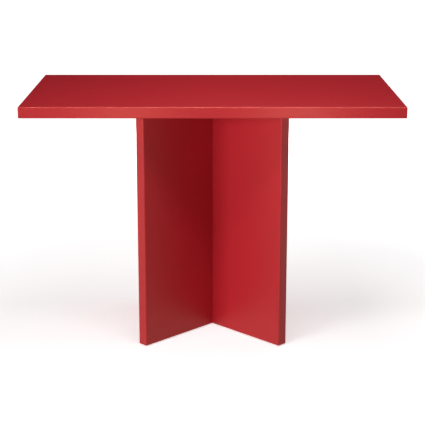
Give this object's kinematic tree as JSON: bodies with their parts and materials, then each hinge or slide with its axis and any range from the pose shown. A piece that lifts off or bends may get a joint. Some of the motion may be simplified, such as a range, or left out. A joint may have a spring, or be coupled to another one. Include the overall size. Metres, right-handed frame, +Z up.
{
  "type": "dining table",
  "caption": "Rectangular dining table: a thick red lacquered top on a base of panels crossing in an X, bolted up through a hidden steel plate, with levelling feet.",
  "frame": {"origin": "on the floor, under the middle of the top", "axes": "+Z up, +X along the width of the top, +Y from the front to the back"},
  "size_m": [1.1, 0.6, 0.75],
  "materials": {
    "red_lacquer": "satin red lacquer on fibreboard, sprayed, with rounded arrises",
    "black_plate": "black powder coat, fine texture",
    "zinc_steel": "bright zinc-plated steel",
    "beech": "plain beech",
    "black_nylon": "moulded black nylon"
  },
  "bodies": {
    "table": {"table_top": "red_lacquer", "base_panel_slot_up": "red_lacquer", "base_panel_slot_down": "red_lacquer", "mounting_plate": "black_plate", "panel_inserts": "zinc_steel", "plate_screws": "zinc_steel", "top_inserts": "zinc_steel", "top_screws": "zinc_steel", "top_screw_washers": "zinc_steel", "locating_dowels": "beech", "leveller_bushes": "zinc_steel"},
    "glide_front_left": {"glide_pad_front_left": "black_nylon"},
    "stem_front_left": {"leveller_stem_front_left": "zinc_steel"},
    "glide_front_right": {"glide_pad_front_right": "black_nylon"},
    "stem_front_right": {"leveller_stem_front_right": "zinc_steel"},
    "glide_back_left": {"glide_pad_back_left": "black_nylon"},
    "stem_back_left": {"leveller_stem_back_left": "zinc_steel"},
    "glide_back_right": {"glide_pad_back_right": "black_nylon"},
    "stem_back_right": {"leveller_stem_back_right": "zinc_steel"}
  },
  "joints": [
    {"name": "leveller_travel_front_left", "type": "slide", "parent": "table", "child": "glide_front_left", "axis": [0, 0, -1], "range_m": [0, 0.0102]},
    {"name": "leveller_turn_front_left", "type": "hinge", "parent": "glide_front_left", "child": "stem_front_left", "pos_m": [-0.18031, -0.18031, 0.02], "axis": [0, 0, -1], "range_deg": [0, 2880]},
    {"name": "leveller_travel_front_right", "type": "slide", "parent": "table", "child": "glide_front_right", "axis": [0, 0, -1], "range_m": [0, 0.0102]},
    {"name": "leveller_turn_front_right", "type": "hinge", "parent": "glide_front_right", "child": "stem_front_right", "pos_m": [0.18031, -0.18031, 0.02], "axis": [0, 0, -1], "range_deg": [0, 2880]},
    {"name": "leveller_travel_back_left", "type": "slide", "parent": "table", "child": "glide_back_left", "axis": [0, 0, -1], "range_m": [0, 0.0102]},
    {"name": "leveller_turn_back_left", "type": "hinge", "parent": "glide_back_left", "child": "stem_back_left", "pos_m": [-0.18031, 0.18031, 0.02], "axis": [0, 0, -1], "range_deg": [0, 2880]},
    {"name": "leveller_travel_back_right", "type": "slide", "parent": "table", "child": "glide_back_right", "axis": [0, 0, -1], "range_m": [0, 0.0102]},
    {"name": "leveller_turn_back_right", "type": "hinge", "parent": "glide_back_right", "child": "stem_back_right", "pos_m": [0.18031, 0.18031, 0.02], "axis": [0, 0, -1], "range_deg": [0, 2880]}
  ],
  "couplings": [
    {"joint": "leveller_travel_front_left", "follows": "leveller_turn_front_left", "m_per_rad": 0.0001989},
    {"joint": "leveller_travel_front_right", "follows": "leveller_turn_front_right", "m_per_rad": 0.0001989},
    {"joint": "leveller_travel_back_left", "follows": "leveller_turn_back_left", "m_per_rad": 0.0001989},
    {"joint": "leveller_travel_back_right", "follows": "leveller_turn_back_right", "m_per_rad": 0.0001989}
  ]
}
